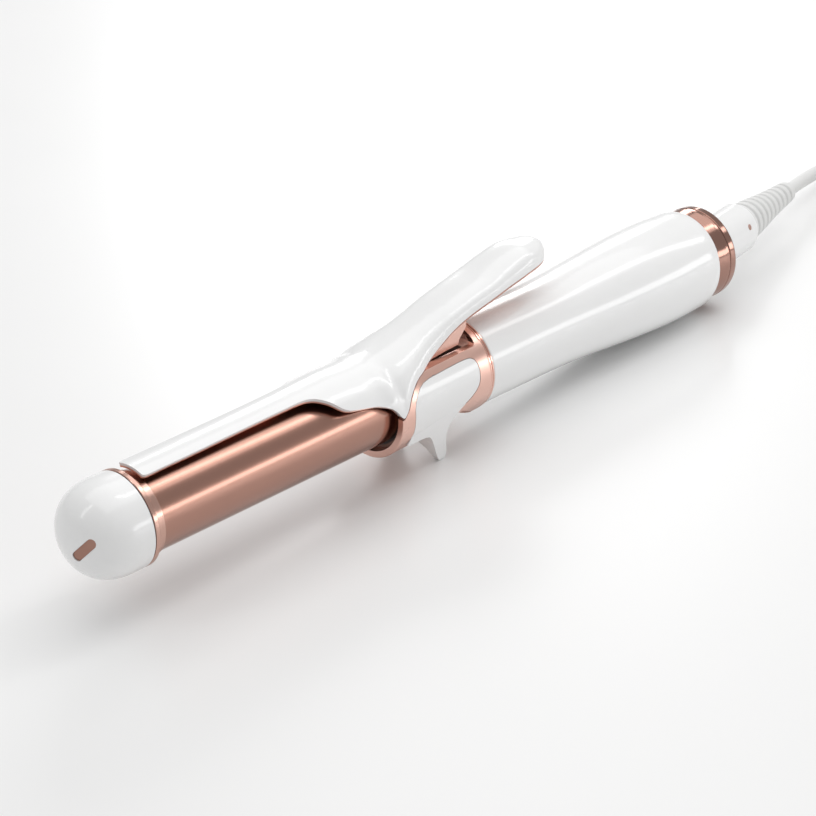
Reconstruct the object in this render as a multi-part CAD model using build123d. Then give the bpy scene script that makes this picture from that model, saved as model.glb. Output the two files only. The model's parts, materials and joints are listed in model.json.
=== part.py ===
from build123d import *
import math
import os

# Spring-clamp curling iron with a cool tip, a two-footed stand and a swivel cord.
# The iron is modelled along +X (tip at the low end, cord at the high end), with its
# barrel axis on the X axis and x = 0 at the front edge of the tip collar. It is then
# tilted so that it rests on its two feet and on the back of the handle, and moved so that the
# origin is under the middle of the iron, on the surface that it stands on.

# ---------------------------------------------------------------- driving dimensions, mm
BARREL_R = 14.0          # outside radius of the heated barrel
BARREL_WALL = 1.0
BARREL_END = 117.5       # the barrel's hidden end, inside the neck
CAP_R = 16.5
CAP_CYL = 5.1            # straight part of the cap
CAP_LEN = 21.6           # cap, front edge of collar to the tip of the dome
CAP_EXP = 2.29           # exponent of the dome's superellipse
CAP_WALL = 2.2
TILT = 2.406             # degrees, tip up
FLOOR = 31.638           # height of the barrel axis above the floor at x = 0
XS = 150.95              # from x = 0 to the origin, along the floor
NECK_X0, NECK_X1 = 106.3, 151.6
NECK_R0, NECK_R1 = 18.7, 17.35
NECK_RI = 15.9
PANEL_DEPTH = 0.9        # the saddle's seat in the neck frame
PANEL_GAP = 0.25
RIM_Z = 12.6             # height of the neck frame's open rim
PIVOT_X, PIVOT_Z = 124.6, 9.1
PIN_R = 1.5
HANDLE_X0, HANDLE_X1 = 154.0, 280.5
HANDLE_WALL = 2.2
RING_X0, RING_X1 = 280.55, 291.5
BUTTONS = {"button_power": (176.0, 4.6), "button_minus": (192.0, 3.8), "button_plus": (204.0, 3.8)}
LENS_X = 216.5
CORD_D = 5.5
BEND = 11.4              # degrees, the boot's turn towards +Y
DROOP = 1.5              # degrees, the boot's droop
BOOT_X = 298.5           # where the boot's axis leaves the swivel's axis
BOOT_START, BOOT_END = 24.0, 72.5
HANK_X0 = 447.0          # near face of the hank
HANK_RUN = 84.0          # straight part of the hank's strands
HANK_R = 22.0            # outer fold, centreline
HANK_Y = 3.9             # middle of the hank
HANK_Z0 = 0.85
HANK_LAYERS = 3
WAIST = 11.05            # half width of the bundle under the tie
PLUG_Y = HANK_Y - HANK_R
PLUG_Z = HANK_Z0 + 1.5 * CORD_D

os.makedirs("parts", exist_ok=True)
PARTS = {}


# ---------------------------------------------------------------- helpers
def lerp(table, x):
    if x <= table[0][0]:
        return table[0][1]
    for (a, p), (b, q) in zip(table, table[1:]):
        if x <= b:
            return p + (q - p) * (x - a) / (b - a)
    return table[-1][1]


def smooth(table, x):
    """Monotone cubic through a table of (x, value)."""
    n = len(table)
    if x <= table[0][0]:
        return table[0][1]
    if x >= table[-1][0]:
        return table[-1][1]
    d = [(table[i + 1][1] - table[i][1]) / (table[i + 1][0] - table[i][0]) for i in range(n - 1)]
    m = [d[0]] + [0.0 if d[i - 1] * d[i] <= 0 else 2 * d[i - 1] * d[i] / (d[i - 1] + d[i]) for i in range(1, n - 1)] + [d[-1]]
    for i in range(n - 1):
        x0, y0 = table[i]
        x1, y1 = table[i + 1]
        if x <= x1:
            h = x1 - x0
            t = (x - x0) / h
            return (
                (2 * t**3 - 3 * t**2 + 1) * y0
                + (t**3 - 2 * t**2 + t) * h * m[i]
                + (-2 * t**3 + 3 * t**2) * y1
                + (t**3 - t**2) * h * m[i + 1]
            )


def step(a, b, x):
    t = min(1.0, max(0.0, (x - a) / (b - a)))
    return t * t * (3 - 2 * t)


def rev_x(points):
    """Solid of revolution about the X axis of the closed polygon of (x, r)."""
    wire = Wire.make_polygon([Vector(x, 0, r) for x, r in points], close=True)
    return Solid.revolve(Face(wire), 360, Axis.X)


def rev_curve(parts):
    """Solid of revolution about the X axis; parts are ("L" or "S", points of (x, r)), end to end."""
    edges = []
    first = parts[0][1][0]
    last = None
    for kind, pts in parts:
        pts = [Vector(x, 0, r) for x, r in pts]
        if kind == "S":
            edges.append(Edge.make_spline(pts))
        else:
            edges += [Edge.make_line(a, b) for a, b in zip(pts, pts[1:])]
        last = pts[-1]
    edges.append(Edge.make_line(last, Vector(first[0], 0, first[1])))
    return Solid.revolve(Face(Wire(edges)), 360, Axis.X)


def cyl(p, q, r):
    p, q = Vector(*p), Vector(*q)
    return Solid.make_cylinder(r, (q - p).length, Plane(origin=p, z_dir=(q - p).normalized()))


def box(x0, x1, y0, y1, z0, z1):
    return Pos(x0, y0, z0) * Solid.make_box(x1 - x0, y1 - y0, z1 - z0)


def prism_y(points, y0, y1):
    """The polygon of (x, z), from y0 to y1."""
    wire = Wire.make_polygon([Vector(x, y0, z) for x, z in points], close=True)
    return Solid.extrude(Face(wire), Vector(0, y1 - y0, 0))


def prism_x(points, x0, x1):
    """The polygon of (y, z), from x0 to x1."""
    wire = Wire.make_polygon([Vector(x0, y, z) for y, z in points], close=True)
    return Solid.extrude(Face(wire), Vector(x1 - x0, 0, 0))


def obround_y(x, z, length, width, y0, y1):
    """An obround along X, standing on the plane y = y0."""
    face = Plane(origin=(x, y0, z), x_dir=(1, 0, 0), z_dir=(0, 1, 0)) * SlotOverall(length, width)
    return extrude(face, y1 - y0)


def one(shape):
    """The single solid of a result."""
    solids = shape.solids()
    assert len(solids) == 1, f"{len(solids)} solids"
    return solids[0]


def add(name, *solids):
    PARTS[name] = list(solids)


# ---------------------------------------------------------------- cool tip
def dome(a, r, x0, n, reverse=False):
    pts = []
    for i in range(n + 1):
        phi = math.pi / 2 * i / n
        s = math.sin(phi) ** (2 / CAP_EXP)
        c = max(0.0, math.cos(phi)) ** (2 / CAP_EXP)
        pts.append((x0 - a * s, r * c if i < n else 0.0))
    return pts[::-1] if reverse else pts


dome_len = CAP_LEN - CAP_CYL
outer_dome = dome(dome_len, CAP_R, -CAP_CYL, 14)
inner_dome = dome(dome_len - CAP_WALL, CAP_R - CAP_WALL, -CAP_CYL, 14, True)
cap = rev_curve([
    ("L", [(-0.3, CAP_R - CAP_WALL), (-0.3, CAP_R - 0.25), (-0.55, CAP_R), (-CAP_CYL, CAP_R)]),
    ("S", outer_dome),
    ("L", [outer_dome[-1], inner_dome[0]]),
    ("S", inner_dome),
])
cap = cap + rev_x([(-17.5, 9.2), (-17.5, 11.0), (5.6, 11.0), (6.0, 10.6), (6.0, 9.2)])
slot_n = Vector(-0.948, -0.318, 0).normalized()
slot_at = Vector(-20.62, -6.1, -0.15)
slot_dir = (Vector(0, -0.707, 0.707) - slot_n * Vector(0, -0.707, 0.707).dot(slot_n)).normalized()


def slot_prism(length, width, deep, height):
    plane = Plane(origin=slot_at - slot_n * deep, x_dir=slot_dir, z_dir=slot_n)
    return extrude(plane * SlotOverall(length, width), height)


cap = one(cap - slot_prism(11.6, 3.3, 1.7, 8))
add("cool_tip_cap", cap)
add("tip_slot_inlay", one(slot_prism(11.5, 3.2, 1.66, 0.55)))
add("tip_collar", rev_x([
    (0, 11.1), (0, 16.3), (0.2, 16.5), (1.5, 16.5), (1.7, 16.3), (1.7, 14.6),
    (5.15, 14.6), (5.3, 14.45), (5.3, 14.03), (1.75, 14.03), (1.75, 11.1)]))
add("tip_insulator", rev_x([(1.8, 11.06), (1.8, 12.92), (9.2, 12.92), (9.2, 6.0), (7.6, 6.0), (7.6, 11.06)]))

# ---------------------------------------------------------------- barrel and heater
add("barrel_tube", rev_x([
    (1.8, BARREL_R - BARREL_WALL), (1.8, BARREL_R), (BARREL_END - 0.3, BARREL_R),
    (BARREL_END, BARREL_R - 0.3), (BARREL_END, BARREL_R - BARREL_WALL)]))
half = rev_x([(24, 0), (24, 12.93), (84, 12.93), (84, 0)]) - rev_x([(20, 0), (20, 11.3), (90, 11.3), (90, 0)])
web = box(24, 84, -11.6, 11.6, 2.05, 3.4)
upper = one((half & box(20, 90, -14, 14, 2.05, 14)) + (web & rev_x([(24, 0), (24, 12.0), (84, 12.0), (84, 0)])))
add("heat_spreader_upper", upper)
add("heat_spreader_lower", upper.rotate(Axis.X, 180))
add("heater_tablets", *[box(27 + 19 * i, 44 + 19 * i, -5.5, 5.5, -1.0, 1.0) for i in range(3)])
add("electrode_plates", box(26, 88, -5.8, 5.8, 1.03, 1.43), box(26, 88, -5.8, 5.8, -1.43, -1.03))
sleeve = box(25, 86, -7.2, 7.2, -2.0, 2.0) - box(20, 90, -6.6, 6.6, -1.5, 1.5)
add("insulation_sleeve", one(sleeve))
add("thermistor", one(cyl((93, 4.0, 6.0), (98, 4.0, 6.0), 1.1) + cyl((98, 4.0, 6.0), (101.5, 4.0, 6.0), 0.35)))
add("thermal_fuse", one(cyl((93, 3.0, -6.0), (103, 3.0, -6.0), 1.9) + cyl((103, 3.0, -6.0), (107, 3.0, -6.0), 0.5)))
lead_at = [(-3.0, -2.0), (0.6, -3.4), (-0.6, 3.0)]
add("heater_leads", *[cyl((89, y, z), (166, y, z), 0.9) for y, z in lead_at])


# ---------------------------------------------------------------- neck frame, core, stand
def neck_r(x):
    return NECK_R0 + (NECK_R1 - NECK_R0) * (x - NECK_X0) / (NECK_X1 - NECK_X0)


neck = rev_x([
    (NECK_X0, 16.25), (NECK_X0, 18.4), (NECK_X0 + 0.3, 18.68), (NECK_X0 + 0.8, neck_r(NECK_X0 + 0.8)),
    (NECK_X1 - 0.4, neck_r(NECK_X1 - 0.4)), (NECK_X1, 17.3), (NECK_X1, NECK_RI), (109.2, NECK_RI)])
CUT = [(107.5, 1.6), (109.75, 3.8), (111.65, 6.6), (114.15, 9.0), (117.5, 11.1), (121.6, 12.4), (123.0, RIM_Z)]
opening = prism_y(
    [(100, 1.2), (106.9, 1.2)] + CUT + [(147.6, RIM_Z), (148.7, 13.1), (149.3, 14.4), (149.6, 25), (100, 25)], -30, 30)
neck = neck - opening
# side view of the white saddle, x and z
SADDLE = [
    (111.4, -11.0), (112.2, -9.0), (112.8, -6.0), (112.6, -1.0), (112.7, 2.8), (113.6, 5.3), (115.0, 7.1), (116.9, 8.7), (119.4, 9.7),
    (122.8, 10.15), (127.8, 10.25), (132.9, 10.35), (138.0, 10.4), (142.0, 10.3), (143.9, 10.0), (145.2, 9.2),
    (145.95, 7.8), (146.2, 5.6), (145.9, 2.8), (145.2, 0.6), (143.6, -1.4), (141.2, -3.3), (138.6, -4.7), (136.4, -6.1), (134.2, -8.1),
    (132.6, -10.2), (131.7, -12.2), (131.4, -14.6), (132.0, -17.4), (132.9, -20.2), (133.9, -22.8), (134.2, -24.9), (133.7, -26.3), (132.4, -26.6),
    (131.0, -25.9), (129.8, -24.2), (128.4, -21.8), (126.8, -18.9), (125.2, -16.0), (123.7, -13.6), (122.2, -12.2), (120.6, -11.7),
    (117.6, -11.5), (113.0, -11.6), (111.8, -11.5)]


def grown(points, d):
    """The polygon, moved outwards by d along each corner's normal."""
    area = sum(a[0] * b[1] - b[0] * a[1] for a, b in zip(points, points[1:] + points[:1])) / 2
    s = 1 if area > 0 else -1
    out = []
    for i, (x, z) in enumerate(points):
        px, pz = points[i - 1]
        nx, nz = points[(i + 1) % len(points)]
        tx, tz = nx - px, nz - pz
        k = math.hypot(tx, tz)
        out.append((x + s * d * tz / k, z - s * d * tx / k))
    return out


seat = rev_x([(100, neck_r(100) - PANEL_DEPTH), (100, 26), (160, 26), (160, neck_r(160) - PANEL_DEPTH)])
seat_cut = prism_y(grown(SADDLE, PANEL_GAP), -30, 30) & seat
neck = neck - seat_cut
pin_hole = cyl((PIVOT_X, -20, PIVOT_Z), (PIVOT_X, 20, PIVOT_Z), PIN_R + 0.02)
# the neck is scooped out underneath, behind the feet
SCOOP = [(135.0, -26), (135.0, -7.6), (138.4, -7.9), (142.7, -10.0), (146.0, -11.8), (148.3, -13.6), (149.3, -15.6), (149.6, -26)]
neck = one(neck - pin_hole - prism_y(SCOOP, -30, 30))
add("neck_frame", neck)

leg = [
    (0.0, -4.6), (-17.25, -4.6), (-16.9, -6.6), (-16.45, -8.6), (-15.95, -10.6), (-15.4, -12.8), (-14.75, -15.4), (-14.0, -18.2),
    (-13.2, -21.0), (-12.45, -23.8), (-11.9, -26.0), (-11.7, -27.0), (-9.9, -27.0), (-9.4, -24.6), (-8.2, -21.8), (-5.9, -19.7),
    (-3.0, -19.0), (0.0, -18.85)]
legs = prism_x(leg + [(-y, z) for y, z in leg[::-1][1:-1]], 100, 150)
shell = rev_x([
    (100, neck_r(100) - PANEL_DEPTH + 0.05), (100, neck_r(100) - 0.05), (160, neck_r(160) - 0.05), (160, neck_r(160) - PANEL_DEPTH + 0.05)])
legs = legs - rev_x([(90, 0), (90, neck_r(90) - PANEL_DEPTH + 0.05), (170, neck_r(170) - PANEL_DEPTH + 0.05), (170, 0)])
saddle = prism_y(SADDLE, -30, 30) & (shell + legs)
add("stand_saddle", one(saddle))

core = rev_x([(109.3, 14.06), (109.3, 15.85), (110.8, 15.85), (110.8, 15.1), (119.0, 15.1), (119.0, 15.85), (149.5, 15.85), (149.5, 5.6), (117.7, 5.6), (117.7, 14.06)])
core = core - box(119.0, 145.0, -12.6, 12.6, 3.6, 20) - prism_y(
    [(100, 0.9), (106.9, 0.9)] + [(x + 0.3, z - 0.4) for x, z in CUT] + [(145.6, RIM_Z - 0.3), (147.6, 12.6), (148.9, 13.2), (149.6, 25), (100, 25)], -30, 30)
core = core - prism_y(SCOOP, -30, 30)
core = core + rev_x([(110.8, 14.06), (110.8, 15.1), (118.5, 15.1), (118.5, 14.06)])
# a wall closes the handle behind the opening
core = core + rev_x([(149.4, 5.6), (149.4, 15.85), (151.1, 15.85), (151.1, 5.6)])
core = one(core - cyl((PIVOT_X, -20, PIVOT_Z), (PIVOT_X, 20, PIVOT_Z), PIN_R + 0.02))
add("neck_core", core)
add("hinge_pin", cyl((PIVOT_X, -13.65, PIVOT_Z), (PIVOT_X, 13.65, PIVOT_Z), PIN_R))

# ---------------------------------------------------------------- clamp
RIN = BARREL_R + 1.8     # the liner's underside clears the barrel by this much
OUT_R = [(4, 17.35), (30, 17.55), (56, 17.9), (77, 18.45), (91, 18.85), (106, 18.8), (112, 18.8)]
HALF_DEG = [
    (4.2, 18.4), (4.8, 20.2), (5.8, 21.0), (30, 20.3), (56, 19.3), (70, 19.5), (73.5, 20.8), (76.0, 24.0), (78.4, 29.8), (80.6, 37.0), (83.3, 47.5),
    (86.9, 53.2), (93.4, 57.5), (97.6, 61.0), (100.5, 65.0), (103.0, 70.5), (105.0, 77.0), (107.1, 84.0), (112, 84.0)]
HALF_W = [
    (98, 18.2), (103, 18.5), (107.1, 18.62), (109.3, 18.35), (111.2, 17.45), (113.8, 16.25), (117.2, 14.85), (121.4, 13.6), (126.0, 12.0), (133.0, 10.85),
    (140.0, 10.35), (147.0, 10.25), (154.0, 10.35), (161.0, 10.5), (170.0, 10.3)]
TIP_X, TIP_FROM = 195.1, 171.0
BASE_Z = [
    (98, 9.0), (103, 6.2), (107.1, 1.96), (109.3, 4.2), (111.2, 7.0), (113.8, 9.4), (117.2, 11.5), (121.4, 12.95), (126.0, 14.8), (133.0, 17.9), (140.0, 21.0),
    (147.0, 23.3), (154.0, 25.0), (161.0, 26.6), (168.0, 28.1), (175.0, 29.35), (182.0, 30.25), (190.0, 30.4), (195.1, 29.8)]
TOP_Z = [
    (98, 18.85), (103.6, 18.9), (108, 19.2), (113.4, 20.1), (118, 21.1), (123.2, 22.3), (133.0, 24.9), (140.0, 26.9), (147.0, 28.7), (154.0, 30.4), (161.0, 32.0),
    (168.0, 34.1), (175.0, 36.2), (182.0, 37.4), (190.0, 37.1), (195.1, 34.8)]
EXPO = [(98, 2.0), (107, 2.0), (118, 2.3), (133, 3.0), (140, 3.35), (155, 3.2), (175, 2.75), (200, 2.75)]
STATIONS = [
    4.2, 4.8, 5.8, 10, 18, 30, 43, 56, 65, 70, 73.5, 76.0, 78.4, 80.6, 83.3, 86.9, 90.2, 93.4, 97.6, 100.5, 103.0, 105.0, 107.1, 108.2, 109.3, 111.2, 113.8,
    117.2, 119.3, 121.4, 123.7, 126.0, 128.3, 130.6, 133.0, 136.5, 140.0, 147.0, 154.0, 161.0, 168.0, 175.0, 181.0, 185.5, 189.0, 191.6, 193.4, 194.5, 195.0]
COLS = 20


def half_width(x):
    w = smooth(HALF_W, x)
    if x > TIP_FROM:
        t = (x - TIP_FROM) / (TIP_X - TIP_FROM)
        w *= max(0.0, 1 - t**2.47) ** 0.5
    return w


def even(points, n):
    """n + 1 points spread evenly along the polyline."""
    run = [0.0]
    for a, b in zip(points, points[1:]):
        run.append(run[-1] + math.hypot(b[0] - a[0], b[1] - a[1]))
    out, k = [], 0
    for i in range(n + 1):
        s = run[-1] * i / n
        while k < len(run) - 2 and run[k + 1] < s:
            k += 1
        t = 0 if run[k + 1] == run[k] else (s - run[k]) / (run[k + 1] - run[k])
        t = min(1.0, max(0.0, t))
        out.append((points[k][0] + t * (points[k + 1][0] - points[k][0]), points[k][1] + t * (points[k + 1][1] - points[k][1])))
    return out


def arch(w, zs, zt, n):
    pts = []
    for i in range(-120, 121):
        t = math.pi / 2 * i / 120
        s, c = abs(math.sin(t)), max(0.0, math.cos(t))
        pts.append(((1 if t > 0 else -1) * w * s ** (2 / n), zs + (zt - zs) * c ** (2 / n)))
    return pts


def section(x, side, top, flat=False):
    """The arch of the clamp at x as (y, z), with its sides and top moved in by side and top. flat: the liner's underside."""
    r, a = smooth(OUT_R, x), math.radians(smooth(HALF_DEG, x))
    ring = even([((r - top) * math.sin(a * i / 60), (r - top) * math.cos(a * i / 60)) for i in range(-60, 61)], COLS)
    w, zs, zt, n = half_width(x), smooth(BASE_Z, x), smooth(TOP_Z, x), lerp(EXPO, x)
    lever = even(arch(max(0.3, w - side), zs, zt - top, n), COLS)
    if flat:
        drop, widen, f = 1.0 * step(117.0, 125.0, x), step(124.0, 133.0, x), step(112.0, 128.0, x)
        wl = max(0.35, (w - side) * (1 - widen) + (w - 0.3) * widen)
        rise = min(2.2, 0.5 * (zt - zs)) * min(1.0, wl / 8.0)
        plate = even([(wl * i / 40, zs - drop + rise * (1 - (i / 40) ** 2)) for i in range(-40, 41)], COLS)
        if f < 1:
            lever = even(arch(max(0.3, w - side), zs - drop, zt - top, n), COLS)
        lever = [(a_[0] + f * (b_[0] - a_[0]), a_[1] + f * (b_[1] - a_[1])) for a_, b_ in zip(lever, plate)]
    b = step(98.0, 107.1, x)
    return [(p[0] + b * (q[0] - p[0]), p[1] + b * (q[1] - p[1])) for p, q in zip(ring, lever)]


def thick(x):
    return 0.9 + 1.0 * step(60.0, 104.0, x)


def liner_thick(x):
    return 0.6 + 0.4 * step(60.0, 104.0, x)


def side_wall(x):
    return thick(x) * step(98.0, 107.0, x)


def grid(kind):
    rows = []
    for x in STATIONS:
        tip = 1.0 if x < 184 else 0.35 + 0.65 * (TIP_X - x) / (TIP_X - 184)
        if kind == "outer":
            s = section(x, 0, 0)
        elif kind == "mid":
            s = section(x, side_wall(x) * tip, thick(x))
        elif kind == "mid_low":
            s = section(x, side_wall(x) * tip + 0.03, thick(x) + 0.03)
        else:
            s = section(x, (side_wall(x) + liner_thick(x)) * tip, thick(x) + liner_thick(x), True)
        rows.append([(x, y, z) for y, z in s])
    return rows


def wrap(upper, lower):
    """A closed solid lofted along X between two grids of points of the same size."""
    wires = []
    for up, low in zip(upper, lower):
        u, v = [Vector(*p) for p in up], [Vector(*p) for p in low[::-1]]
        wires.append(Wire([Edge.make_spline(u), Edge.make_line(u[-1], v[0]), Edge.make_spline(v), Edge.make_line(v[-1], u[0])]))
    return Solid.make_loft(wires)


G_OUT, G_MID, G_MID2, G_LOW = grid("outer"), grid("mid"), grid("mid_low"), grid("low")
add("clamp_shell", wrap(G_OUT, G_MID))
add("clamp_liner", wrap(G_MID2, G_LOW))


def height_at(g, x, y):
    """Height of a grid's surface at x and y."""
    rows = [lerp([(p[1], p[2]) for p in row], y) for row in g]
    return lerp(list(zip(STATIONS, rows)), x)


# U-shaped hinge bracket welded under the liner: two webs with ears on the pin, and a bridge between them
EAR_IN, EAR_OUT = 8.0, 9.3
BRIDGE_Z = min(height_at(G_LOW, x, EAR_OUT) for x in (121.3, 123.0, 125.0, 127.0, 128.2)) - 0.05
WEB_TOP = [(x, min(height_at(G_LOW, x, y) for y in (EAR_IN, EAR_OUT)) - 0.12) for x in (129.5, 132.0, 134.5, 137.0, 139.5, 142.0, 144.5, 146.9)]
ear_pts = [(PIVOT_X - 3.3, BRIDGE_Z), (PIVOT_X - 3.3, PIVOT_Z)]
ear_pts += [(PIVOT_X - 3.3 * math.cos(math.radians(a)), PIVOT_Z - 3.3 * math.sin(math.radians(a))) for a in range(20, 161, 20)]
ear_pts += [(PIVOT_X + 3.3, PIVOT_Z), (PIVOT_X + 3.9, 11.2), (129.8, 13.0), (136.0, 13.6), (142.7, 13.9), (143.2, 14.3), (143.4, 15.6), (146.9, 19.6)]
ear_pts += WEB_TOP[::-1] + [(PIVOT_X + 3.6, BRIDGE_Z)]
bracket = prism_y(ear_pts, EAR_IN, EAR_OUT) + prism_y(ear_pts, -EAR_OUT, -EAR_IN)
bracket = bracket + box(PIVOT_X - 3.3, PIVOT_X + 3.6, -EAR_OUT, EAR_OUT, BRIDGE_Z - 1.2, BRIDGE_Z)
bracket = one(bracket - cyl((PIVOT_X, -20, PIVOT_Z), (PIVOT_X, 20, PIVOT_Z), PIN_R + 0.05))
add("hinge_bracket", bracket)

# torsion spring on the pin, with one leg on the core's floor and one under the clamp
coil_r, wire_r = 2.7, 0.45
helix = Edge.make_helix(pitch=1.05, height=6.3, radius=coil_r, center=(0, 0, 0), normal=(0, 0, 1))
coil = Solid.sweep(Face(Wire.make_circle(wire_r, Plane(origin=helix @ 0, z_dir=helix % 0))), Wire([helix]), is_frenet=True)
coil = Plane(origin=(PIVOT_X, -3.15, PIVOT_Z), x_dir=(1, 0, 0), z_dir=(0, 1, 0)) * coil
leg_low = cyl((PIVOT_X + 0.0, -3.15, PIVOT_Z - coil_r), (PIVOT_X + 9.5, -3.15, 4.15), wire_r)
leg_up = cyl((PIVOT_X, 3.15, PIVOT_Z + coil_r), (PIVOT_X + 3.4, 3.15, BRIDGE_Z - 1.2 - wire_r - 0.1), wire_r)
add("torsion_spring", *(coil + leg_low + leg_up).solids())

# ---------------------------------------------------------------- handle
HANDLE = [(154.6, 16.78), (165, 16.8), (175, 16.85), (196, 17.05), (207, 17.45), (217, 18.1), (228, 18.9), (238, 19.6), (248, 20.15), (256, 20.42), (262, 20.47),
          (268, 20.35), (272, 20.23), (275, 20.1), (277.5, 19.85), (279.3, 19.4)]


def handle_r(x):
    return smooth(HANDLE, x)


handle_out = [("L", [(HANDLE_X0, 14.6), (HANDLE_X0, 16.4)]), ("S", [(HANDLE_X0, 16.4), (154.12, 16.62), (154.6, 16.78)]), ("S", HANDLE),
              ("S", [(279.3, 19.4), (280.2, 18.9), (HANDLE_X1, 18.3)])]
inner_line = [(x, r - HANDLE_WALL) for x, r in HANDLE[::-1]]
handle = rev_curve(handle_out + [("L", [(HANDLE_X1, 18.3), (HANDLE_X1, inner_line[0][1]), inner_line[0]]), ("S", inner_line)])
WINDOW_X, WINDOW_L, WINDOW_H = 196.0, 60.0, 14.0
window = obround_y(WINDOW_X, 0, WINDOW_L, WINDOW_H, 0, 40)
add("handle_shell", one(handle - window))
add("handle_trim_ring", rev_x([
    (151.75, 14.6), (151.75, 17.0), (151.95, 17.25), (152.5, 17.25), (152.62, 17.05), (152.7, 16.6), (152.95, 16.6), (153.03, 16.95), (153.15, 17.1),
    (153.55, 17.1), (153.7, 16.95), (153.75, 16.6), (153.75, 14.6)]))

fascia_skin = rev_curve([
    ("S", [(x, r - 0.25) for x, r in HANDLE[:9]]),
    ("L", [(HANDLE[8][0], HANDLE[8][1] - 0.25), (HANDLE[8][0], HANDLE[8][1] - 2.2)]),
    ("S", [(x, r - 2.2) for x, r in HANDLE[:9][::-1]])])
fascia = fascia_skin & obround_y(WINDOW_X, 0, WINDOW_L - 0.4, WINDOW_H - 0.4, 5, 40)
for x, r in BUTTONS.values():
    fascia = fascia - cyl((x, 5, 0), (x, 40, 0), r + 0.15)
fascia = fascia - cyl((LENS_X, 5, 0), (LENS_X, 40, 0), 1.52)
add("control_fascia", one(fascia))
add("indicator_lens", cyl((LENS_X, handle_r(LENS_X) - 3.0, 0), (LENS_X, handle_r(LENS_X) - 0.3, 0), 1.5))
PCB_Y = 6.4
for name, (x, r) in BUTTONS.items():
    top = handle_r(x) + 0.5
    cap_r = 34.0
    body = cyl((x, 12.4, 0), (x, top + 1, 0), r) & Pos(x, top - cap_r, 0) * Solid.make_sphere(cap_r, angle1=-90, angle2=90, angle3=360)
    flange = cyl((x, 12.3, 0), (x, 13.05, 0), min(r + 0.7, 5.0))
    add(name, one(body + flange))

chassis = box(157.0, 266.5, 2.6, 4.6, -10.8, 10.8)
front_disc = rev_x([(156.6, 6.2), (156.6, 14.4), (158.6, 14.4), (158.6, 6.2)])
rear_disc = rev_x([(266.0, 6.2), (266.0, 17.6), (268.0, 17.6), (268.0, 6.2)])
screw_at = [(162.5, 8.6), (162.5, -8.6), (258.0, 8.6), (258.0, -8.6)]
chassis = chassis + front_disc + rear_disc
for x, z in screw_at:
    chassis = chassis + cyl((x, 4.5, z), (x, PCB_Y - 0.02, z), 1.9)
for x, z in screw_at:
    chassis = chassis - cyl((x, 3.4, z), (x, PCB_Y + 1, z), 0.92)
add("inner_chassis", one(chassis))
pcb = box(160.0, 261.0, PCB_Y, PCB_Y + 1.6, -10.8, 10.8)
for x, z in screw_at:
    pcb = pcb - cyl((x, PCB_Y - 1, z), (x, PCB_Y + 3, z), 1.15)
add("circuit_board", one(pcb))
BOARD = PCB_Y + 1.6 + 0.02
add("board_switches", *[box(x - 3, x + 3, BOARD, BOARD + 3.5, -3, 3) for x, r in BUTTONS.values()])
add("triac", one(box(222, 232, BOARD, BOARD + 4.4, -9.0, 1.0) + box(232, 236, BOARD, BOARD + 1.2, -9.0, 1.0)))
add("film_capacitor", box(240, 252, BOARD, BOARD + 6.5, -6.5, 6.5))
add("control_chip", box(208.5, 213.5, BOARD, BOARD + 1.5, -4, 4))
add("chassis_screws", *[
    one(cyl((x, BOARD, z), (x, BOARD + 1.3, z), 1.8) + cyl((x, 3.6, z), (x, BOARD + 0.2, z), 0.9) - box(x - 1.3, x + 1.3, BOARD + 0.8, BOARD + 2, z - 0.25, z + 0.25))
    for x, z in screw_at])

# ---------------------------------------------------------------- rear ring, swivel
add("rear_ring", rev_x([
    (RING_X0, 16.05), (RING_X0, 17.0), (RING_X0 + 0.2, 17.2), (282.6, 17.55), (284.6, 17.9), (286.4, 18.2), (287.4, 18.3), (287.6, 18.25), (287.75, 18.0),
    (288.0, 18.0), (288.1, 18.2), (288.3, 18.35), (290.6, 18.3), (291.2, 18.15), (RING_X1, 17.8), (RING_X1, 17.0), (289.0, 16.05)]))
add("rear_cap", rev_x([(284.0, 8.06), (284.0, 16.0), (288.6, 16.0), (288.9, 15.7), (288.9, 8.06)]))
spindle = rev_x([(266.9, 0), (266.9, 4.0), (280.6, 4.0), (280.6, 10.5), (283.7, 10.5), (283.7, 8.0), (289.2, 8.0), (289.2, 0)])
boot_dir = Vector(math.cos(math.radians(BEND)) * math.cos(math.radians(DROOP)), math.sin(math.radians(BEND)) * math.cos(math.radians(DROOP)), -math.sin(math.radians(DROOP)))
boot_at = Vector(BOOT_X, 0, 0)
boot_plane = Plane(origin=boot_at, x_dir=Vector(0, 0, 1).cross(boot_dir).normalized(), z_dir=boot_dir)


def boot(points):
    """Solid of revolution about the boot's axis of the closed polygon of (u, r)."""
    wire = Wire.make_polygon([Vector(r, 0, u) for u, r in points], close=True)
    return boot_plane * Solid.revolve(Face(wire), 360, Axis.Z)


KNUCKLE_R = 10.3
knuckle = rev_x([(289.2, 0), (289.2, KNUCKLE_R - 0.5), (289.7, KNUCKLE_R), (BOOT_X, KNUCKLE_R), (BOOT_X, 0)])
knuckle = knuckle + Pos(BOOT_X, 0, 0) * Solid.make_sphere(KNUCKLE_R - 0.005, angle1=-90, angle2=90, angle3=360)
knuckle = knuckle + boot([(0, 0), (0, KNUCKLE_R), (BOOT_START - 1.6, KNUCKLE_R), (BOOT_START - 0.9, KNUCKLE_R - 0.25), (BOOT_START - 0.25, KNUCKLE_R - 0.85), (BOOT_START, KNUCKLE_R - 1.6), (BOOT_START, 0)])
swivel = one(spindle + knuckle)
pin_dir = Vector(1.79, -8.33, 4.2).normalized()
pin_at = boot_at + boot_dir * 16.3
pin_plane = Plane(origin=pin_at + pin_dir * (KNUCKLE_R - 2.2), z_dir=pin_dir)
swivel = one(swivel - Solid.make_cylinder(1.22, 6, pin_plane))
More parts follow.
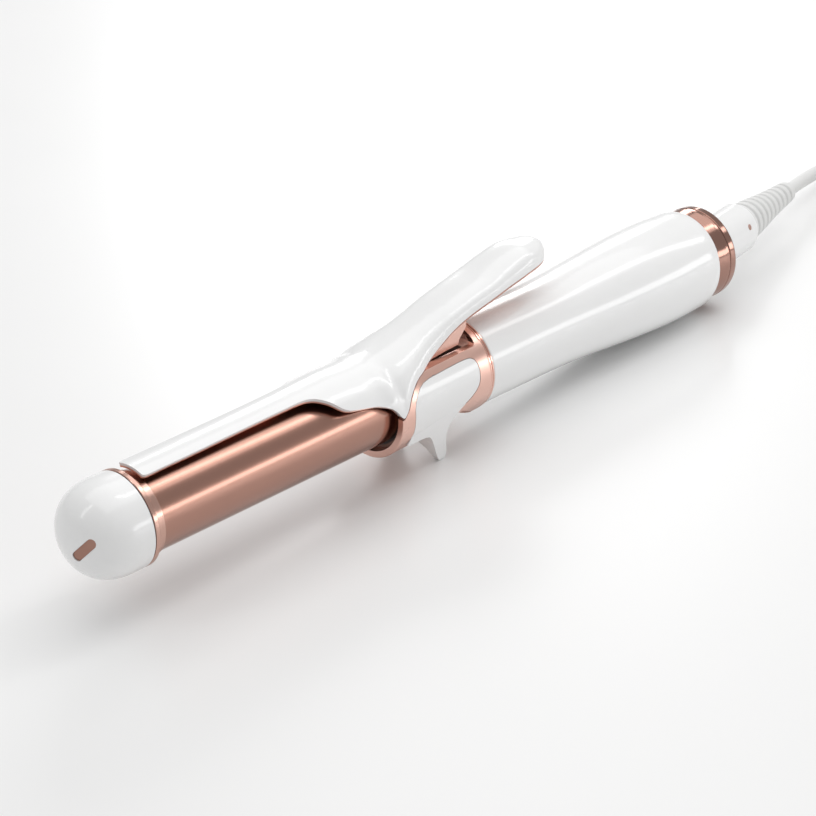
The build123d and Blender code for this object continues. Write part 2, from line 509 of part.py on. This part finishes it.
add("swivel_barrel", swivel)
add("swivel_pin", Solid.make_cylinder(1.2, 2.25, pin_plane))
slip = [rev_x([(a, 4.03), (a, 5.2), (a + 2.2, 5.2), (a + 2.2, 4.03)]) for a in (269.6, 275.2)]
add("slip_rings", *slip)
add("brush_block", box(269.0, 279.5, -5.0, 5.0, -12.5, -9.0))
add("contact_brushes", *[box(a + 0.3, a + 1.9, -2.2, 2.2, -8.98, -5.55) for a in (269.6, 275.2)])
add("mains_leads", cyl((262.4, 8.4, -4.5), (265.9, 8.4, -4.5), 0.9), cyl((262.4, 8.4, 4.5), (265.9, 8.4, 4.5), 0.9))

ribs = [(BOOT_START, 0), (BOOT_START, 8.7)]
RIBS, RIB_FROM, PITCH = 9, 27.0, 4.9


def boot_r(u):
    return lerp([(24, 8.8), (30, 8.3), (38, 7.6), (50, 6.2), (60, 5.3), (72.5, 4.4)], u)


for i in range(RIBS):
    u = RIB_FROM + i * PITCH
    for du, dr in ((0, 0.0), (0.35, 0.2), (0.65, 0.65), (0.8, 1.05), (1.75, 1.05), (1.9, 0.65), (2.2, 0.2), (2.55, 0.0)):
        ribs.append((u + du, boot_r(u + du) - dr))
ribs += [(BOOT_END - 0.7, 4.35), (BOOT_END - 0.2, 4.15), (BOOT_END, 3.7), (BOOT_END, 0)]
add("strain_relief", boot(ribs))

# ---------------------------------------------------------------- pose on the floor
tilt = Location((0, 0, 0), (0, TILT, 0))
PLACE = Location((0, 0, FLOOR)) * tilt


def placed(p):
    """A point of the iron, standing on the floor, before the move to the origin."""
    a = math.radians(TILT)
    return (p[0] * math.cos(a) + p[2] * math.sin(a), p[1], FLOOR - p[0] * math.sin(a) + p[2] * math.cos(a))


# ---------------------------------------------------------------- cord
end = boot_at + boot_dir * BOOT_END
b0 = placed((end.X, end.Y, end.Z))
b1 = placed(tuple(end + boot_dir * 15.2))
cord_z = HANK_Z0 + CORD_D / 2
CORD = [b0, b1, (402.6, 21.2, 10.6), (418.6, 24.1, 6.9), (434.4, HANK_Y + HANK_R, cord_z), (HANK_X0, HANK_Y + HANK_R, cord_z)]


def tube(points, d, name):
    v = [Vector(*p) for p in points]
    radii, length = [], 0.0
    runs = [(b - a).length for a, b in zip(v, v[1:])]
    for i in range(1, len(v) - 1):
        turn = math.radians((v[i] - v[i - 1]).get_angle(v[i + 1] - v[i]))
        radii.append(0.45 * min(runs[i - 1], runs[i]) / math.tan(turn / 2))
    path = FilletPolyline(*v, radius=radii)
    first = (v[1] - v[0]).normalized()
    solid = sweep(Plane(origin=v[0], z_dir=first) * Circle(d / 2), path=path)
    length = path.length
    print(name, "radii", [round(r, 1) for r in radii], "runs", [round(r, 1) for r in runs], "length", round(length, 1),
          "volume", round(solid.volume, 1), "section x length", round(math.pi * d * d / 4 * length, 1))
    return solid


cord = tube(CORD, CORD_D, "cord_run")
add("cord_run", one(cord))

far_c = HANK_X0 + CORD_D / 2 + HANK_R + HANK_RUN
near_c = HANK_X0 + CORD_D / 2 + HANK_R
W = HANK_R + CORD_D / 2
mid_x = (near_c + far_c) / 2
outline = [(HANK_X0, -W), (near_c - 4, -W)]
waist_line = []
for i in range(0, 13):
    t = i / 12
    waist_line.append((near_c + (mid_x - 9 - near_c) * t, -(W + (WAIST - W) * (3 * t * t - 2 * t**3))))
outline += waist_line
outline += [(2 * mid_x - x, y) for x, y in waist_line[::-1]]
arc_pts = [(far_c + W * math.sin(math.pi * i / 24), -W * math.cos(math.pi * i / 24)) for i in range(1, 24)]
outline_pts = outline + arc_pts + [(x, -y) for x, y in outline[::-1]]
hank_z1 = HANK_Z0 + HANK_LAYERS * CORD_D
hank = Solid.extrude(Face(Wire.make_polygon([Vector(x, HANK_Y + y, HANK_Z0) for x, y in outline_pts], close=True)), Vector(0, 0, hank_z1 - HANK_Z0))
HOLE_R = 13.6 - 0.3
for sgn, cx in ((1, near_c), (-1, far_c)):
    hole = [(cx - sgn * HOLE_R * math.cos(math.radians(a)), HOLE_R * math.sin(math.radians(a))) for a in range(-90, 91, 15)]
    hole += [(cx + sgn * 10, 11.0), (cx + sgn * 20, 5.5), (cx + sgn * 27, 1.2), (cx + sgn * 27, -1.2), (cx + sgn * 20, -5.5), (cx + sgn * 10, -11.0)]
    hank = hank - Solid.extrude(Face(Wire.make_polygon([Vector(x, HANK_Y + y, -1) for x, y in hole], close=True)), Vector(0, 0, 40))
add("cord_hank", one(hank))
tie_in = box(mid_x - 6, mid_x + 6, HANK_Y - WAIST - 0.05, HANK_Y + WAIST + 0.05, 0.8, hank_z1 + 0.05)
tie_out = box(mid_x - 6, mid_x + 6, HANK_Y - WAIST - 0.85, HANK_Y + WAIST + 0.85, 0.0, hank_z1 + 0.85)
tie_out = fillet(tie_out.edges().filter_by(Axis.X), 0.6)
add("hank_tie", one(tie_out - tie_in))

# ---------------------------------------------------------------- plug, lying beside the cord
plug_z0, plug_z1 = 0.0, 2 * PLUG_Z
body = box(399.0, 426.0, PLUG_Y - 12.0, PLUG_Y + 12.0, plug_z0, plug_z1)
body = fillet(body.edges().filter_by(Axis.X), 4.5)
body = fillet(body.edges().group_by(Axis.X)[0], 1.0)
body = fillet(body.edges().group_by(Axis.X)[-1], 3.0)
relief = Solid.make_cone(6.4, 3.6, HANK_X0 - 425.0, Plane(origin=(425.0, PLUG_Y, PLUG_Z), z_dir=(1, 0, 0)))
plug = body + relief
for sy in (-6.35, 6.35):
    plug = plug - box(398, 401.02, PLUG_Y + sy - 0.77, PLUG_Y + sy + 0.77, PLUG_Z - 3.2, PLUG_Z + 3.2)
add("plug_body", one(plug))
blades = []
for sy in (-6.35, 6.35):
    blade = box(383.0, 401.0, PLUG_Y + sy - 0.75, PLUG_Y + sy + 0.75, PLUG_Z - 3.15, PLUG_Z + 3.15)
    blade = chamfer(blade.edges().filter_by(Axis.Y).group_by(Axis.X)[0], 1.4)
    blade = one(blade - cyl((386.5, PLUG_Y + sy - 2, PLUG_Z), (386.5, PLUG_Y + sy + 2, PLUG_Z), 1.6))
    blades.append(blade)
add("plug_blades", *blades)

# ---------------------------------------------------------------- place and write
LYING = {"cord_run", "cord_hank", "hank_tie", "plug_body", "plug_blades"}
move = Location((-XS, 0, 0))
for name, solids in PARTS.items():
    at = move if name in LYING else move * PLACE
    moved = [s.moved(at) for s in solids]
    if name == "stand_saddle":
        moved = [one(s - box(-100, 100, -60, 60, -30, 0)) for s in moved]
    shape = moved[0] if len(moved) == 1 else Compound(children=moved)
    export_step(shape, f"parts/{name}.step")
print("nodes", len(PARTS))
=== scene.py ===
import json
import math
import random

import bmesh
import bpy
from mathutils import Matrix, Vector


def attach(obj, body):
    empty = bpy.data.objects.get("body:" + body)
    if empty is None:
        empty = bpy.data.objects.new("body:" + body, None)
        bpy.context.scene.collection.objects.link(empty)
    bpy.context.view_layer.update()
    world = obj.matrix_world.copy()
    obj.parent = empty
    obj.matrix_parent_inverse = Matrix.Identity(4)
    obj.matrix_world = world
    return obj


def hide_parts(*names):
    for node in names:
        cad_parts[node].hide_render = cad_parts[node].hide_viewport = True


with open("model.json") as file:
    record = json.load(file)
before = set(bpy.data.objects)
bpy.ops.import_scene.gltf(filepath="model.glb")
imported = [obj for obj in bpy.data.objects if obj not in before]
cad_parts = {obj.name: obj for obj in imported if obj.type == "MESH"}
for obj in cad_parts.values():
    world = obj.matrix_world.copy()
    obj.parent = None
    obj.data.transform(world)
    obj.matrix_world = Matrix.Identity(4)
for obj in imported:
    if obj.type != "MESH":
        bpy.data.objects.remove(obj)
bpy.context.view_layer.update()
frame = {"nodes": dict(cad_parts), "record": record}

random.seed(7)
scene = bpy.context.scene
NODES = frame["nodes"]

# ---------------------------------------------------------------- the iron's own frame, in mm, as it is tilted on the floor
TILT = math.radians(2.406)
FLOOR, XS = 31.638, 150.95
CT, ST = math.cos(TILT), math.sin(TILT)
TO_ROW = Matrix(((CT, 0, ST, -XS / 1000), (0, 1, 0, 0), (-ST, 0, CT, FLOOR / 1000), (0, 0, 0, 1)))


def row(x, y, z):
    """A point of the iron's frame, in mm, as a point of the row frame, in metres."""
    return TO_ROW @ Vector((x / 1000, y / 1000, z / 1000))


# ---------------------------------------------------------------- camera
YAW, PITCH = math.radians(45.81), math.radians(27.49)
fwd = Vector((math.sin(YAW) * math.cos(PITCH), math.cos(YAW) * math.cos(PITCH), -math.sin(PITCH)))
right = Vector((math.cos(YAW), -math.sin(YAW), 0))
up = right.cross(fwd)
R3 = TO_ROW.to_3x3()
axes = Matrix((R3 @ right, R3 @ up, R3 @ -fwd)).transposed()
cam_data = bpy.data.cameras.new("photo_camera")
cam_data.sensor_width = 36.0
cam_data.lens = 2300 * 36 / 816
cam_data.clip_start, cam_data.clip_end = 0.01, 30
cam = bpy.data.objects.new("photo_camera", cam_data)
cam.matrix_world = Matrix.Translation(row(-382.9, -496.3, 362.0)) @ axes.to_4x4()
scene.collection.objects.link(cam)
scene.camera = cam

# ---------------------------------------------------------------- light and floor
scene.view_settings.view_transform = "Standard"
world = bpy.data.worlds.new("studio")
scene.world = world
world.use_nodes = True
background = world.node_tree.nodes["Background"]
background.inputs["Color"].default_value = (1.0, 1.0, 1.0, 1)
background.inputs["Strength"].default_value = 0.50


def area_light(name, at, towards, size, power, color=(1, 1, 1)):
    data = bpy.data.lights.new(name, "AREA")
    data.shape = "RECTANGLE"
    data.size, data.size_y = size
    data.energy = power
    data.color = color
    obj = bpy.data.objects.new(name, data)
    obj.location = at
    obj.rotation_euler = (Vector(towards) - Vector(at)).to_track_quat("-Z", "Y").to_euler()
    scene.collection.objects.link(obj)
    return obj


area_light("overhead_softbox", (0.5, 0.2, 1.7), (0.5, 0.2, 0.0), (2.4, 2.2), 19)
area_light("back_softbox", (1.25, 1.2, 0.75), (0.0, 0, 0.0), (0.7, 0.5), 6)
area_light("low_panel", (0.72, -0.98, 0.16), (0.0, 0, 0.03), (1.0, 0.2), 2.2)
area_light("top_strip", (0.56, -0.20, 0.72), (0.0, 0, 0.03), (0.10, 0.9), 1.0)
area_light("left_strip", (-0.95, 0.35, 0.95), (-0.05, 0, 0.03), (0.12, 0.9), 1.0)


# ---------------------------------------------------------------- materials
def material(name, color, rough, metallic=0.0, coat=0.0, coat_rough=0.05, tone=0.02, rough_var=0.04, scale=220.0, bump=0.0, bump_scale=900.0,
             stretch=None, ior=1.45, transmission=0.0, subsurface=0.0, specular=0.5):
    m = bpy.data.materials.new(name)
    m.use_nodes = True
    tree = m.node_tree
    n, links = tree.nodes, tree.links
    bsdf = n["Principled BSDF"]
    bsdf.inputs["Metallic"].default_value = metallic
    bsdf.inputs["IOR"].default_value = ior
    bsdf.inputs["Coat Weight"].default_value = coat
    bsdf.inputs["Coat Roughness"].default_value = coat_rough
    bsdf.inputs["Transmission Weight"].default_value = transmission
    bsdf.inputs["Specular IOR Level"].default_value = specular
    if subsurface:
        bsdf.inputs["Subsurface Weight"].default_value = subsurface
        bsdf.inputs["Subsurface Radius"].default_value = (1.0, 0.9, 0.8)
        bsdf.inputs["Subsurface Scale"].default_value = 0.0015
    coords = n.new("ShaderNodeTexCoord")
    place = n.new("ShaderNodeMapping")
    links.new(coords.outputs["Object"], place.inputs["Vector"])
    if stretch:
        place.inputs["Scale"].default_value = stretch
    wide = n.new("ShaderNodeTexNoise")
    wide.inputs["Scale"].default_value = scale * 0.15
    wide.inputs["Detail"].default_value = 3
    links.new(place.outputs["Vector"], wide.inputs["Vector"])
    tint = n.new("ShaderNodeValToRGB")
    tint.color_ramp.elements[0].position, tint.color_ramp.elements[1].position = 0.3, 0.7
    lo = [max(0.0, c * (1 - tone)) for c in color]
    hi = [min(1.0, c * (1 + tone)) for c in color]
    tint.color_ramp.elements[0].color = (*lo, 1)
    tint.color_ramp.elements[1].color = (*hi, 1)
    links.new(wide.outputs["Fac"], tint.inputs["Fac"])
    links.new(tint.outputs["Color"], bsdf.inputs["Base Color"])
    fine = n.new("ShaderNodeTexNoise")
    fine.inputs["Scale"].default_value = scale
    fine.inputs["Detail"].default_value = 5
    links.new(place.outputs["Vector"], fine.inputs["Vector"])
    spread = n.new("ShaderNodeMapRange")
    spread.inputs["From Min"].default_value, spread.inputs["From Max"].default_value = 0.25, 0.75
    spread.inputs["To Min"].default_value = max(0.02, rough - rough_var)
    spread.inputs["To Max"].default_value = min(1.0, rough + rough_var)
    links.new(fine.outputs["Fac"], spread.inputs["Value"])
    links.new(spread.outputs["Result"], bsdf.inputs["Roughness"])
    if bump:
        grain = n.new("ShaderNodeTexNoise")
        grain.inputs["Scale"].default_value = bump_scale
        grain.inputs["Detail"].default_value = 4
        links.new(place.outputs["Vector"], grain.inputs["Vector"])
        relief = n.new("ShaderNodeBump")
        relief.inputs["Strength"].default_value = bump
        relief.inputs["Distance"].default_value = 0.0002
        links.new(grain.outputs["Fac"], relief.inputs["Height"])
        links.new(relief.outputs["Normal"], bsdf.inputs["Normal"])
    return m


WHITE_PAINT = (0.86, 0.86, 0.858)
ROSE = (0.80, 0.515, 0.435)
M = {
    "white_gloss": material("white_gloss", WHITE_PAINT, 0.22, coat=0.6, coat_rough=0.06, tone=0.006, rough_var=0.03, bump=0.02, bump_scale=600),
    "rose_barrel": material("rose_barrel", (0.42, 0.225, 0.172), 0.22, metallic=1.0, coat=0.45, coat_rough=0.14, tone=0.012, rough_var=0.006, scale=500, bump=0.002, bump_scale=2500),
    "rose_polished": material("rose_polished", ROSE, 0.15, metallic=1.0, tone=0.01, rough_var=0.008),
    # rear ring: rose metal with a darkened base colour, a painted dark reflection
    "rose_mirror_painted_dark_reflection": material("rose_mirror_painted_dark_reflection", (0.36, 0.205, 0.165), 0.13, metallic=1.0, coat=0.1, coat_rough=0.05, tone=0.02, rough_var=0.01),
    # slot inlay: darker rose, painted shade in the recess
    "rose_recess_painted_shade": material("rose_recess_painted_shade", (0.33, 0.185, 0.145), 0.3, metallic=1.0, tone=0.06, rough_var=0.03),
    "rose_collar": material("rose_collar", (0.60, 0.375, 0.31), 0.2, metallic=1.0, tone=0.01, rough_var=0.008),
    "rose_satin": material("rose_satin", ROSE, 0.28, metallic=1.0, tone=0.012, rough_var=0.008, bump=0.003, bump_scale=2000),
    "pps_black": material("pps_black", (0.028, 0.026, 0.025), 0.55, tone=0.15, rough_var=0.1, bump=0.15),
    "steel": material("steel", (0.6, 0.6, 0.61), 0.25, metallic=1.0, bump=0.05, stretch=(1, 6, 6)),
    "spring_steel": material("spring_steel", (0.42, 0.42, 0.44), 0.3, metallic=1.0, bump=0.05),
    "aluminium_cast": material("aluminium_cast", (0.72, 0.72, 0.73), 0.4, metallic=1.0, bump=0.12, stretch=(0.1, 1, 1)),
    "ceramic": material("ceramic", (0.80, 0.79, 0.74), 0.5, bump=0.1),
    "film": material("film", (0.75, 0.42, 0.1), 0.3, coat=0.5, bump=0.05),
    "lead_sleeve": material("lead_sleeve", (0.82, 0.82, 0.8), 0.5, bump=0.05),
    "glass_bead": material("glass_bead", (0.65, 0.5, 0.3), 0.1, coat=1.0),
    "fuse_metal": material("fuse_metal", (0.7, 0.62, 0.5), 0.3, metallic=1.0, bump=0.05),
    "board": material("board", (0.03, 0.22, 0.1), 0.35, coat=0.4, tone=0.1, bump=0.1),
    "chip_black": material("chip_black", (0.03, 0.03, 0.033), 0.5, tone=0.1, bump=0.15),
    "cap_yellow": material("cap_yellow", (0.78, 0.55, 0.06), 0.35, bump=0.05),
    "chassis_grey": material("chassis_grey", (0.3, 0.3, 0.31), 0.5, tone=0.05, bump=0.15),
    "button_white": material("button_white", (0.84, 0.84, 0.835), 0.24, coat=0.5, coat_rough=0.08, tone=0.006, rough_var=0.03, bump=0.02),
    "fascia_rose": material("fascia_rose", (0.76, 0.49, 0.41), 0.3, metallic=0.85, coat=0.4, rough_var=0.01, bump=0.004, bump_scale=1800),
    "lens": material("lens", (0.9, 0.85, 0.75), 0.1, coat=1.0, transmission=0.6, ior=1.49),
    "brass": material("brass", (0.78, 0.57, 0.25), 0.25, metallic=1.0, bump=0.05, stretch=(8, 1, 1)),
    "carbon": material("carbon", (0.03, 0.03, 0.03), 0.6, tone=0.2, bump=0.2),
    "pvc_white": material("pvc_white", (0.72, 0.72, 0.712), 0.38, coat=0.15, coat_rough=0.2, tone=0.012, rough_var=0.05, bump=0.06, bump_scale=900),
    "tie_white": material("tie_white", (0.82, 0.82, 0.81), 0.5, tone=0.03, bump=0.2, bump_scale=1600),
    "blade_brass": material("blade_brass", (0.74, 0.7, 0.6), 0.22, metallic=1.0, bump=0.05, stretch=(1, 8, 8)),
}


def painted_shade_in_front(m, x, color, lip_x, lip_z, lip_r, lip_shade_color):
    """Paints shade into a metal-coated material: in front of x its colour becomes a near-black painted shade and its
    metal is turned off, but for a lip in front of lip_x and outside lip_r, which gets its own painted shade colour.
    """
    n, links = m.node_tree.nodes, m.node_tree.links
    bsdf = n["Principled BSDF"]
    coords = n.new("ShaderNodeTexCoord")
    split = n.new("ShaderNodeSeparateXYZ")
    links.new(coords.outputs["Object"], split.inputs["Vector"])
    edge = n.new("ShaderNodeMapRange")
    edge.inputs["From Min"].default_value, edge.inputs["From Max"].default_value = x - 0.0002, x + 0.0002
    links.new(split.outputs["X"], edge.inputs["Value"])
    old = bsdf.inputs["Base Color"].links[0].from_socket
    mix = n.new("ShaderNodeMix")
    mix.data_type = "RGBA"
    mix.inputs[6].default_value = (*color, 1)
    links.new(edge.outputs["Result"], mix.inputs[0])
    links.new(old, mix.inputs[7])
    drop = n.new("ShaderNodeVectorMath")
    drop.operation = "MULTIPLY_ADD"
    drop.inputs[1].default_value = (0, 1, 1)
    drop.inputs[2].default_value = (0, 0, -lip_z)
    links.new(coords.outputs["Object"], drop.inputs[0])
    radius = n.new("ShaderNodeVectorMath")
    radius.operation = "LENGTH"
    links.new(drop.outputs["Vector"], radius.inputs[0])
    outside = n.new("ShaderNodeMapRange")
    outside.inputs["From Min"].default_value, outside.inputs["From Max"].default_value = lip_r - 0.0003, lip_r + 0.0003
    links.new(radius.outputs["Value"], outside.inputs["Value"])
    before = n.new("ShaderNodeMapRange")
    before.inputs["From Min"].default_value, before.inputs["From Max"].default_value = lip_x + 0.0002, lip_x - 0.0002
    links.new(split.outputs["X"], before.inputs["Value"])
    lip = n.new("ShaderNodeMath")
    lip.operation = "MULTIPLY"
    links.new(outside.outputs["Result"], lip.inputs[0])
    links.new(before.outputs["Result"], lip.inputs[1])
    lip_mix = n.new("ShaderNodeMix")
    lip_mix.data_type = "RGBA"
    lip_mix.inputs[7].default_value = (*lip_shade_color, 1)
    links.new(lip.outputs["Value"], lip_mix.inputs[0])
    links.new(mix.outputs[2], lip_mix.inputs[6])
    links.new(lip_mix.outputs[2], bsdf.inputs["Base Color"])
    amount = n.new("ShaderNodeMath")
    amount.operation = "MULTIPLY"
    amount.inputs[1].default_value = bsdf.inputs["Metallic"].default_value
    links.new(edge.outputs["Result"], amount.inputs[0])
    links.new(amount.outputs["Value"], bsdf.inputs["Metallic"])
    return m


# Neck core: rose behind x. In front of x, the pocket and the gap around the barrel end get a near-black painted shade,
# and the lip just outside the barrel gets a dark rose painted shade.
M["core_rose_painted_gap_shade"] = painted_shade_in_front(
    material("core_rose_painted_gap_shade", (0.74, 0.47, 0.39), 0.45, metallic=0.35, rough_var=0.02, bump=0.01, bump_scale=1800), -0.0064, (0.035, 0.024, 0.02),
    -0.0360, 0.02705, 0.01485, (0.30, 0.165, 0.125))
FINER = {"neck_core": "core_rose_painted_gap_shade", "rear_ring": "rose_mirror_painted_dark_reflection", "tip_slot_inlay": "rose_recess_painted_shade", "tip_collar": "rose_collar"}
slot_of = {s["node"]: s["material_slot"] for s in frame["record"]["subparts"]}
for name, obj in NODES.items():
    obj.data.materials.clear()
    obj.data.materials.append(M[FINER.get(name, slot_of[name])])


# ---------------------------------------------------------------- floor
def floor():
    me = bpy.data.meshes.new("floor")
    s = 6.0
    me.from_pydata([(-s, -s, -0.0002), (s, -s, -0.0002), (s, s, -0.0002), (-s, s, -0.0002)], [], [(0, 1, 2, 3)])
    obj = bpy.data.objects.new("floor", me)
    scene.collection.objects.link(obj)
    obj.data.materials.append(material("floor_white", (0.86, 0.86, 0.858), 0.32, tone=0.004, rough_var=0.02, scale=20, specular=0.5))


floor()


# ---------------------------------------------------------------- cord
ROUTE = [(0.21819, 0.014325, 0.014228), (0.233055, 0.017329, 0.013205), (0.25165, 0.0212, 0.0106), (0.26765, 0.0241, 0.0069),
         (0.28345, 0.0259, 0.0036), (0.29605, 0.0259, 0.0036)]
HANK_X0, HANK_Y, NEAR_C, FAR_C = 447.0, 3.9, 471.75, 555.75
LAYER = {1: 3.6, 2: 9.1, 3: 14.6}
SLOTS = [("R", 22.0, 1), ("L", 22.0, 1), ("R", 22.0, 2), ("L", 22.0, 3), ("R", 22.0, 3), ("L", 16.5, 3), ("R", 16.5, 3), ("L", 16.5, 2), ("R", 16.5, 2),
         ("L", 16.5, 1), ("R", 16.5, 1), ("L", 22.0, 2)]


def strand(side, r, layer, first=False, last=False):
    """Points of one straight strand of the hank, in the direction that the cord runs."""
    sign = 1 if side == "R" else -1
    waist = 2.75 if r < 20 else 8.25
    pts = []
    for x in (NEAR_C + 0.2, NEAR_C + 4.6, NEAR_C + 9, NEAR_C + 14, NEAR_C + 20, NEAR_C + 26, NEAR_C + 32, NEAR_C + 42):
        t = min(1.0, (x - NEAR_C) / 37.0)
        pts.append((x, r * 1.01 + (waist - r * 1.01) * (3 * t * t - 2 * t**3)))
    pts += [(NEAR_C + FAR_C - x, y) for x, y in pts[:-1][::-1]]
    if first or last:
        pts = [(HANK_X0 + 9, r), (NEAR_C - 9, r), (NEAR_C - 4.2, r)] + pts
    if last:
        pts = [(HANK_X0, r)] + pts
    z = LAYER[layer]
    pts = [(x, sign * y, z + random.uniform(-0.12, 0.12)) for x, y in pts]
    return pts if side == "R" else pts[::-1]


def fold(a, b, far):
    """Points of the half turn between two strands."""
    out = []
    ya, yb = (1 if a[0] == "R" else -1) * a[1], (1 if b[0] == "R" else -1) * b[1]
    za, zb = LAYER[a[2]], LAYER[b[2]]
    for i in range(12):
        t = (i + 0.5) / 12
        s = t * t * (3 - 2 * t)
        phi = math.pi * t
        r = abs(ya) + (abs(yb) - abs(ya)) * s
        r *= 1.02
        y = (1 if ya > 0 else -1) * r * math.cos(phi)
        x = (FAR_C + 2 if far else NEAR_C - 2) + (1 if far else -1) * r * math.sin(phi)
        out.append((x, y, za + (zb - za) * s))
    return out


points = list(ROUTE)
for i, s in enumerate(SLOTS):
    pts = strand(*s, first=i == 0, last=i == len(SLOTS) - 1)
    if i + 1 < len(SLOTS):
        pts += fold(s, SLOTS[i + 1], far=s[0] == "R")
    points += [((x - XS) / 1000, (HANK_Y + y) / 1000, z / 1000) for x, y, z in pts]
curve = bpy.data.curves.new("mains_cord", "CURVE")
curve.dimensions = "3D"
curve.bevel_depth = 0.00275
curve.bevel_resolution = 8
curve.resolution_u = 5
curve.use_fill_caps = True
spline = curve.splines.new("NURBS")
spline.points.add(len(points) - 1)
for p, q in zip(spline.points, points):
    p.co = (*q, 1)
spline.use_endpoint_u = True
spline.order_u = 3
cord = bpy.data.objects.new("mains_cord", curve)
scene.collection.objects.link(cord)
curve.materials.append(M["pvc_white"])
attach(cord, "cord_swivel")
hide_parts("cord_run", "cord_hank")

line = cord.copy()
line.data = curve.copy()
line.data.bevel_depth = 0
me = bpy.data.meshes.new_from_object(line)
bpy.data.objects.remove(line)
